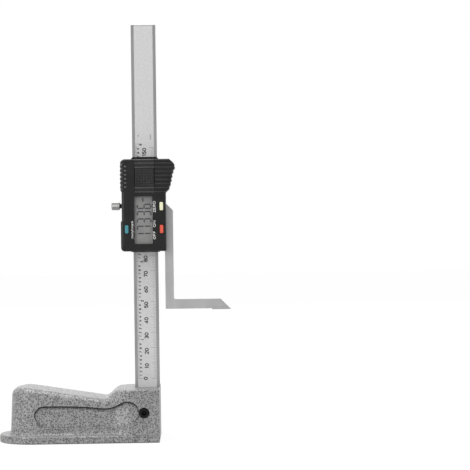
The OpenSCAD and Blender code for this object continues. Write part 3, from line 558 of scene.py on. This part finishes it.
# %% [markdown]
# ## Rounded edges on the casting
# Sand casting and thick paint leave no sharp edge: light runs along every rim of the base
# and along the step of its side recess. Modelling each fillet by hand would take long. A
# copy of the casting's mesh is welded instead, its flat triangles are joined to whole
# faces, and a bevel rounds whatever is still a sharp edge. The copy then stands in for it.
# The moulded housing and the battery's cover are softened in the same way, only less. The
# ridges of the thumb grip stay sharp, because a rounding would fold over itself there.

# %% A welded copy with a bevel
WELD = 0.04 * MM
FLAT_DEGREES = 0.6
SHARP_DEGREES = 38
ROUNDING_STEPS = 3
FACE_WEIGHT = 80


def eased(node, body, radius_mm, whole_faces=True, kept_sharp=None):
    """A copy of a CAD node's mesh, welded, whose outer sharp edges are rounded by radius_mm.
    An edge is sharp where its two faces turn away from each other by more than
    SHARP_DEGREES. Edges inside the box kept_sharp, two corners (x, z) in millimetres, stay
    as they are. Nothing of the copy leaves the node's own box."""
    solid = frame["nodes"][node]
    data = solid.data.copy()
    data.transform(solid.matrix_world)
    work = bmesh.new()
    work.from_mesh(data)
    bmesh.ops.remove_doubles(work, verts=work.verts, dist=WELD)
    if whole_faces:
        bmesh.ops.dissolve_limit(work, angle_limit=math.radians(FLAT_DEGREES),
                                 verts=work.verts, edges=work.edges)
    sharp = math.radians(SHARP_DEGREES)
    rims = [edge for edge in work.edges if edge.calc_face_angle_signed(0) > sharp]
    if kept_sharp:
        (left, bottom), (right, top) = kept_sharp
        middles = [(edge, (edge.verts[0].co + edge.verts[1].co) / 2 / MM) for edge in rims]
        rims = [edge for edge, at in middles
                if not (left < at.x < right and bottom < at.z < top)]
    bmesh.ops.bevel(work, geom=rims, offset=radius_mm * MM, offset_type="OFFSET",
                    segments=ROUNDING_STEPS, profile=0.5, affect="EDGES", clamp_overlap=False)
    bmesh.ops.remove_doubles(work, verts=work.verts, dist=WELD / 10)
    work.to_mesh(data)
    work.free()
    low, high = corners_mm(node)
    places = np.array([v.co for v in data.vertices])
    data.vertices.foreach_set("co", np.clip(places, low * MM, high * MM).ravel())
    data.polygons.foreach_set("use_smooth", np.full(len(data.polygons), True))
    copy = bpy.data.objects.new("rounded_" + node, data)
    bpy.context.scene.collection.objects.link(copy)
    flatter = copy.modifiers.new("flat faces stay flat", "WEIGHTED_NORMAL")
    flatter.weight = FACE_WEIGHT
    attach(copy, body)
    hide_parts(node)
    print(copy.name, "-", len(rims), "rims rounded,", len(data.polygons), "faces, on", body)


door_low, door_high = corners_mm("battery_cover")
case_low, case_high = corners_mm("housing")
# The ridges lie to the right of the battery's cover, up to a millimetre below the top.
ridges = ((door_high[0], door_low[2] - 1.5), (case_high[0] + 1, case_high[2] - 1.0))
eased("base_casting", "stand", 0.45)
eased("housing", "slider", 0.22, kept_sharp=ridges)
eased("battery_cover", "battery_lid", 0.12, whole_faces=False)

# %% [markdown]
# ## The printed scale
# The scale runs up the foil in the beam's groove. Millimetres are on the right with a
# figure at every ten, and inches on the left, cut into tenths with small figures and into
# fortieths with short lines. All figures are turned to read upwards. The lines could be a
# striped texture, but real strokes stay sharp close up. Each group of lines is worked out
# in one go: an array of heights gives an array of boxes, eight corners each.

# %% Graduations as arrays of thin boxes
foil_low, foil_high = corners_mm("scale_label")
foil_y = foil_low[1]
ZERO_Z = 39.3
INCH = 25.4
EDGE_GAP = 0.15


def bars(heights, left, right, thick):
    """A flat box for each height: its corners are every mix of the two ends, two edges
    and two depths."""
    z = np.asarray(heights, float)[:, None]
    n = len(z)
    corner = np.array([[0, 0], [1, 0], [1, 1], [0, 1]])
    x = np.where(corner[:, 0] == 0, left, right)[None] + 0 * z
    up = z + (corner[:, 1][None] - 0.5) * thick
    near = np.stack([x, up, np.full((n, 4), INK)], axis=-1)
    far = near * [1, 1, 0]
    sides = [[0, 1, 2, 3], [7, 6, 5, 4], [0, 4, 5, 1], [1, 5, 6, 2], [2, 6, 7, 3], [3, 7, 4, 0]]
    faces = np.arange(n)[:, None, None] * 8 + np.array(sides)[None]
    return np.concatenate([near, far], axis=1).reshape(-1, 3), faces.reshape(-1, 4)


millimetres = np.arange(0, 151)
edge_right = foil_high[0] - EDGE_GAP
edge_left = foil_low[0] + EDGE_GAP
tens = millimetres[millimetres % 10 == 0]
fives = millimetres[millimetres % 10 == 5]
ones = millimetres[millimetres % 5 != 0]
fortieths = np.arange(0, 241)
tenths = fortieths[(fortieths % 4 == 0) & (fortieths % 40 != 0)]
plain = fortieths[fortieths % 4 != 0]
inches = np.arange(7)

# Each group of lines has a length and a thickness.
marks = [bars(ZERO_Z + group, edge_right - length, edge_right, thick)
         for group, length, thick in ((ones, 1.7, 0.09), (fives, 2.2, 0.10), (tens, 3.2, 0.14))]
marks += [bars(ZERO_Z + group, edge_left, edge_left + length, thick)
          for group, length, thick in ((plain * INCH / 40, 1.0, 0.10),
                                       (tenths * INCH / 40, 1.5, 0.12),
                                       (inches * INCH, 3.0, 0.14))]
print("lines on the scale:", sum(len(v) // 8 for v, _ in marks))

# %% Figures of the scale, turned to read upwards
UPWARDS = ((0, 0, 1), (-1, 0, 0))


def upward(text, height, weight, x, z, align=1.0, wide=1.25):
    """A figure that reads upwards, centred on x, and ends just under the height z."""
    drawn = joined(lettering(text, height, weight, INK, (0, -height / 2), align, wide))
    return laid_on(drawn, (x, foil_y, z), *UPWARDS)


# Height, weight and the place across the foil, for each size of figure.
MILLIMETRE_FIGURE = (2.1, 0.55, -0.2)
ZERO_FIGURE = (2.1, 0.55, -1.1)
INCH_FIGURE = (1.35, 0.42, -2.65)
TENTH_FIGURE = (1.1, 0.35, -4.15)
MILLIMETRE_SIGN = (1.3, 0.16, 3.85)
INCH_SIGN = (1.3, 0.16, -4.3)
# How far a figure ends below its line, or above it where the number is negative.
MILLIMETRE_DROP, INCH_DROP, TENTH_DROP = 0.35, -0.1, 0.2
UNIT_Z = ZERO_Z + 158.5

figures = [upward(str(n), *MILLIMETRE_FIGURE, ZERO_Z + n - MILLIMETRE_DROP) for n in tens[1:]]
figures.append(upward("0", *ZERO_FIGURE, ZERO_Z, align=0.5))
figures += [upward(str(n), *INCH_FIGURE, ZERO_Z + n * INCH - INCH_DROP) for n in inches[1:]]
figures += [upward(str(n % 10), *TENTH_FIGURE, ZERO_Z + n * INCH / 10 - TENTH_DROP)
            for n in range(1, 60) if n % 10]
figures.append(upward("mm", *MILLIMETRE_SIGN, UNIT_Z))
figures.append(upward("in", *INCH_SIGN, UNIT_Z))
lines = laid_on(joined(marks), (0, foil_y, 0), (1, 0, 0), (0, 0, 1))
piece("scale_ink", joined([lines] + figures), black_ink, "stand")

# %% [markdown]
# ## Figures in the display
# The display shows its reading in seven-segment figures, turned to read upwards like the
# scale. Each segment is a thin bar with pointed ends, so that neighbours meet in a fine
# gap. A segment is a hexagon: its two tips lie on its own line, and four corners lie half
# a thickness beside it. A digit is the set of its lit segments.

# %% Seven-segment figures
# Each segment runs between two points of a grid that is one wide and two tall.
SEGMENTS = {
    "a": ((0, 2), (1, 2)), "b": ((1, 2), (1, 1)), "c": ((1, 1), (1, 0)), "d": ((0, 0), (1, 0)),
    "e": ((0, 0), (0, 1)), "f": ((0, 1), (0, 2)), "g": ((0, 1), (1, 1)),
}
LIT = {"1": "bc", "3": "abcdg", "6": "acdefg", "7": "abc"}
TIP_GAP = 0.12
FILM = 0.02


def segment(start, stop, thick, depth):
    """A hexagon between two points, with its tips on the line, and a small thickness."""
    start, stop = np.asarray(start, float), np.asarray(stop, float)
    along = (stop - start) / np.linalg.norm(stop - start)
    side = np.array([-along[1], along[0]]) * thick / 2
    a, b = start + along * TIP_GAP, stop - along * TIP_GAP
    inset = along * thick / 2
    rim = np.array([a, a + inset - side, b - inset - side, b, b - inset + side, a + inset + side])
    top = np.column_stack([rim, np.full(6, depth)])
    low = np.column_stack([rim, np.zeros(6)])
    i = np.arange(6)
    j = (i + 1) % 6
    walls = np.stack([i, i + 6, j + 6, j], axis=1)
    lids = [[0, 1, 2, 3], [0, 3, 4, 5], [6, 9, 8, 7], [6, 11, 10, 9]]
    return np.vstack([top, low]), np.vstack([walls, lids])


glass_y = corners_mm("display_glass")[0][1]
DIGIT_WIDE, DIGIT_TALL, DIGIT_PITCH, SEGMENT_THICK = 2.6, 8.7, 4.7, 0.85
FIRST_DIGIT_Z, DIGIT_FOOT_X = 130.9, 3.85
UNIT_MARK_AT = (154.1, 4.6)
reading = []
for number, digit in enumerate("17336"):
    foot = np.array([FIRST_DIGIT_Z + DIGIT_PITCH * number, 0])
    size = np.array([DIGIT_WIDE, DIGIT_TALL / 2])
    reading += [segment(foot + size * SEGMENTS[s][0], foot + size * SEGMENTS[s][1],
                        SEGMENT_THICK, FILM) for s in LIT[digit]]
reading += lettering("mm", 1.25, 0.34, FILM, UNIT_MARK_AT)
digits = laid_on(joined(reading), (DIGIT_FOOT_X, glass_y, 0), *UPWARDS)
piece("display_figures", digits, segment_ink, "slider")

# %% [markdown]
# ## Legends beside the keys
# The function of each key is printed on the cover in pale ink, turned to read upwards.
# The signs are the same strokes as on the scale, only wider and in a pale colour.

# %% Key legends
case_y = case_low[1]


def legend(text, height, weight, x, z, wide):
    drawn = joined(lettering(text, height, weight, INK, (0, -height / 2), wide=wide))
    return laid_on(drawn, (x, case_y, z), *UPWARDS)


# Height and weight of the signs, their place across and up the cover, and their width.
legends = [
    legend("ZERO", 1.45, 0.28, 6.15, 147.0, 1.58),
    legend("ON", 1.45, 0.28, 6.1, 137.6, 1.7),
    legend("OFF", 1.45, 0.28, 6.0, 129.8, 1.6),
    legend("mm/inch", 1.25, 0.32, -8.25, 130.5, 1.75),
]
piece("key_legends", joined(legends), pale_ink, "slider")

# %% [markdown]
# ## The table on the back
# A black foil on the slider's back carries a reference table in pale print. Which figures
# it holds doesn't matter here, so a loop fills a plain grid with plain numbers, and the
# headings stay empty boxes. The sheet is drawn from its upper left corner, as it is read
# from behind: to the right is -X, and up is +Z.

# %% Grid and plain numbers on the back
label_corner = corners_mm("back_label")[1]
COLUMNS = (1.7, 7.1, 12.3, 17.2, 22.3)
BANDS = (1.5, 4.3, 8.5, 12.6, 32.4, 35.0, 52.9)
UPPER_ROWS_FROM, LOWER_ROWS_FROM, ROW_PITCH, ROW_DROP = 14.0, 36.6, 2.0, 0.62
HEADING_PITCH, HEADING_DROP = 1.75, 1.85
LINE = 0.22
FINE_LINE = 0.10


def rule(u0, v0, u1, v1, weight=LINE):
    """A straight line between two places, counted to the right and down."""
    return stroke([[u0, -v0], [u1, -v1]], weight, INK)


table = [rule(COLUMNS[0], v, COLUMNS[-1], v) for v in BANDS]
table += [rule(u, BANDS[0], u, BANDS[-1]) for u in (COLUMNS[0], COLUMNS[-1])]
table += [rule(u, BANDS[1], u, BANDS[4]) for u in COLUMNS[1:-1]]
table += [rule(u, BANDS[5], u, BANDS[6]) for u in COLUMNS[1:-1]]
rows = [UPPER_ROWS_FROM + ROW_PITCH * row for row in range(9)]
rows += [LOWER_ROWS_FROM + ROW_PITCH * row for row in range(8)]
half_row = ROW_PITCH / 2
table += [rule(COLUMNS[0], v + half_row, COLUMNS[-1], v + half_row, FINE_LINE) for v in rows]
for column in range(4):
    middle = (COLUMNS[column] + COLUMNS[column + 1]) / 2
    for top in (BANDS[1], BANDS[2]):
        for line_of in (0, 1):
            number = str(10 * (column + 1) + 4 * line_of + (top > BANDS[1]))
            at = (middle, -(top + HEADING_DROP + HEADING_PITCH * line_of))
            table += lettering(number, 1.35, 0.30, INK, at, 0.5, 1.2)
    for row, v in enumerate(rows):
        size = row % 9 + 1
        number = (str(size), f"{size * 0.25 + 0.25:.2f}", f"{size * 0.5 + 0.45:.2f}",
                  f"{size * 0.5 + 2:.1f}")[column]
        table += lettering(number, 1.25, 0.27, INK, (middle, -(v + ROW_DROP)), 0.5)
back = laid_on(joined(table), label_corner, (-1, 0, 0), (0, 0, 1))
piece("back_table", back, pale_ink, "slider")

# %% [markdown]
# ## Pimples on the grip
# Beside the lock screw, the grip is roughened by two staggered rows of small rounded
# pimples. They could be a bump pattern, but they show in the outline, so each is a low
# dome: with the angle from its top, the spread is the sine and the height is the cosine.
# A disc closes it from below, just inside the moulding.

# %% Domes in two staggered rows
ROUND, FALL = 12, 4


def dome(centre, across, tall, high, tilt):
    """Half an ellipsoid: the sine and cosine of the angle from its top give the spread
    and the height, over a base turned by tilt degrees from the front to the left."""
    turn = np.linspace(0, 2 * np.pi, ROUND, endpoint=False)
    fall = np.radians(np.linspace(0, 90, FALL + 1))[1:, None]
    out = np.array([-math.sin(math.radians(tilt)), -math.cos(math.radians(tilt)), 0])
    side = np.array([-out[1], out[0], 0])
    rings = (np.sin(fall) * np.cos(turn))[..., None] * side * across / 2
    rings = rings + (np.sin(fall) * np.sin(turn))[..., None] * np.array([0, 0, tall / 2])
    rings = rings + (np.cos(fall) + 0 * turn)[..., None] * out * high
    points = np.vstack([out * high, rings.reshape(-1, 3), [0, 0, 0]]) + centre
    i = np.arange(ROUND)
    j = (i + 1) % ROUND
    last, middle = 1 + ROUND * (FALL - 1), 1 + ROUND * FALL
    lid = [[0, 1 + a, 1 + b] for a, b in zip(i, j)]
    base = [[middle, last + b, last + a] for a, b in zip(i, j)]
    belts = [[1 + r * ROUND + a, 1 + (r + 1) * ROUND + a, 1 + (r + 1) * ROUND + b,
              1 + r * ROUND + b] for r in range(FALL - 1) for a, b in zip(i, j)]
    return points, lid + belts + base


# Each row has a place across the cover, a sink below its face, a start above the foot of
# the grip, the domes' width, height and rise, their tilt, and how many there are.
RIB_PITCH = 2.65
BEVEL_ROW = (-14.55, 0.75, 2.4, (1.9, 1.5, 0.60), 50, 7)
FACE_ROW = (-12.35, 0.04, 3.7, (1.9, 1.3, 0.50), 0, 6)
grip_foot = door_low[2]
domes = [dome((x, case_y + sink, grip_foot + start + RIB_PITCH * k), *sizes, tilt)
         for x, sink, start, sizes, tilt, count in (BEVEL_ROW, FACE_ROW) for k in range(count)]
counts = np.cumsum([0] + [len(points) for points, _ in domes[:-1]])
pimple_points = np.vstack([points for points, _ in domes])
pimple_faces = [[int(v + c) for v in face] for (_, faces), c in zip(domes, counts)
                for face in faces]
# The pimples' lighter grey finish is a painted highlight.
piece("grip_pimples", (pimple_points, pimple_faces), pimple_highlight_black, "slider", True)

# %% [markdown]
# ## The stage
# The gauge stands on a plain pale table. To look like the photograph, the table and the
# far background are white where the camera sees them directly, and in mirrors and glass.
# That is done in their own materials, so no extra light falls on the gauge, and part of
# the table's own shading is kept for the soft shadow. Mirrors see the table grow darker
# towards the camera, where a real table ends and the room is dim.

# %% Table and background
def ray_is(tree, *kinds):
    """One where the ray is of any of the given kinds."""
    path = tree.nodes.new("ShaderNodeLightPath")
    result = path.outputs[kinds[0]]
    for kind in kinds[1:]:
        either = tree.nodes.new("ShaderNodeMath")
        either.operation = "MAXIMUM"
        tree.links.new(result, either.inputs[0])
        tree.links.new(path.outputs[kind], either.inputs[1])
        result = either.outputs[0]
    return result


def chosen(tree, factor, first, second):
    """The second value where the factor is one, and the first where it is nought."""
    mix = tree.nodes.new("ShaderNodeMix")
    mix.data_type = "FLOAT"
    tree.links.new(factor, mix.inputs["Factor"])
    for socket, value in (("A", first), ("B", second)):
        if isinstance(value, float):
            mix.inputs[socket].default_value = value
        else:
            tree.links.new(value, mix.inputs[socket])
    return mix.outputs["Result"]


HALF_TABLE = 4.0
BELOW_THE_FOOT = 0.0001
TABLE_GREY = 0.6
TABLE_GLOW = 1.05
GLOW_SHARE = 0.9
NEAR_GLOW, FAR_GLOW = 0.35, 1.0

grid = np.array([[x, y, 0.0] for y in (-1, 1) for x in (-1, 1)]) * HALF_TABLE
grid[:, 2] = -BELOW_THE_FOOT
table_top = bpy.data.meshes.new("table_top")
table_top.from_pydata(grid.tolist(), [], [[0, 1, 3, 2]])
floor = bpy.data.objects.new("table_top", table_top)
bpy.context.scene.collection.objects.link(floor)

white_table = bpy.data.materials.new("white_table")
white_table.use_nodes = True
tree = white_table.node_tree
tree.nodes.clear()
matt = tree.nodes.new("ShaderNodeBsdfDiffuse")
matt.inputs["Color"].default_value = (*grey(TABLE_GREY), 1)
glow = tree.nodes.new("ShaderNodeEmission")
towards_camera = between(tree, axis(tree, "Y"), NEAR_GLOW, FAR_GLOW,
                         from_low=-0.9, from_high=0.1)
brightness = chosen(tree, ray_is(tree, "Is Camera Ray"), towards_camera, TABLE_GLOW)
tree.links.new(brightness, glow.inputs["Strength"])
blend = tree.nodes.new("ShaderNodeMixShader")
share = tree.nodes.new("ShaderNodeMath")
share.operation = "MULTIPLY"
share.inputs[1].default_value = GLOW_SHARE
tree.links.new(ray_is(tree, "Is Camera Ray", "Is Glossy Ray", "Is Transmission Ray"),
               share.inputs[0])
tree.links.new(share.outputs[0], blend.inputs["Fac"])
tree.links.new(matt.outputs[0], blend.inputs[1])
tree.links.new(glow.outputs[0], blend.inputs[2])
end = tree.nodes.new("ShaderNodeOutputMaterial")
tree.links.new(blend.outputs[0], end.inputs["Surface"])
table_top.materials.append(white_table)
print("table:", 2 * HALF_TABLE, "m wide")

# %% [markdown]
# ## Light
# A light tent gives soft light from all sides, more from its roof than from below. The
# world gives that even part. Mirror-like surfaces see a bright background and a dimmer
# front, where the camera and the dark room behind it are, and that is what makes ground
# steel look mid-grey and the grazing top of the base look nearly white. Three large soft
# lamps add direction: from above, from the left of the camera, and low from behind.

# %% World
TENT_FLOOR, TENT_ROOF = 0.26, 0.85
MIRRORED_FRONT, MIRRORED_BACK = 0.62, 1.0

world = bpy.data.worlds.new("light_tent")
bpy.context.scene.world = world
world.use_nodes = True
tree = world.node_tree
backdrop = tree.nodes["Background"]
backdrop.inputs["Color"].default_value = (1, 1, 1, 1)
to_the_back = axis(tree, "Y", "Generated")
to_the_roof = axis(tree, "Z", "Generated")
mirrored = between(tree, to_the_back, MIRRORED_FRONT, MIRRORED_BACK,
                   from_low=-0.6, from_high=0.5)
tent = between(tree, to_the_roof, TENT_FLOOR, TENT_ROOF, from_low=-0.2, from_high=0.9)
level = chosen(tree, ray_is(tree, "Is Glossy Ray", "Is Transmission Ray"), tent, mirrored)
level = chosen(tree, ray_is(tree, "Is Camera Ray"), level, 1.0)
tree.links.new(level, backdrop.inputs["Strength"])
print("world:", world.name)


# %% Lamps
def softbox(name, place, aim, size, watts):
    """A square lamp that faces a point of the gauge."""
    data = bpy.data.lights.new(name, "AREA")
    data.size, data.energy = size, watts
    lamp = bpy.data.objects.new(name, data)
    lamp.location = place
    lamp.rotation_euler = (Vector(aim) - Vector(place)).to_track_quat("-Z", "Y").to_euler()
    lamp.visible_camera = False
    bpy.context.scene.collection.objects.link(lamp)


# Each lamp has a place and an aim in metres, a size in metres and its power in watts.
softbox("lamp_above", (-0.25, -0.20, 1.1), (0, 0, 0.1), 0.8, 7.0)
softbox("lamp_left", (-0.70, -0.85, 0.35), (0, 0, 0.12), 0.45, 2.2)
softbox("lamp_behind", (0, 1.6, 0.75), (0, 0, 0.1), 1.4, 2.6)
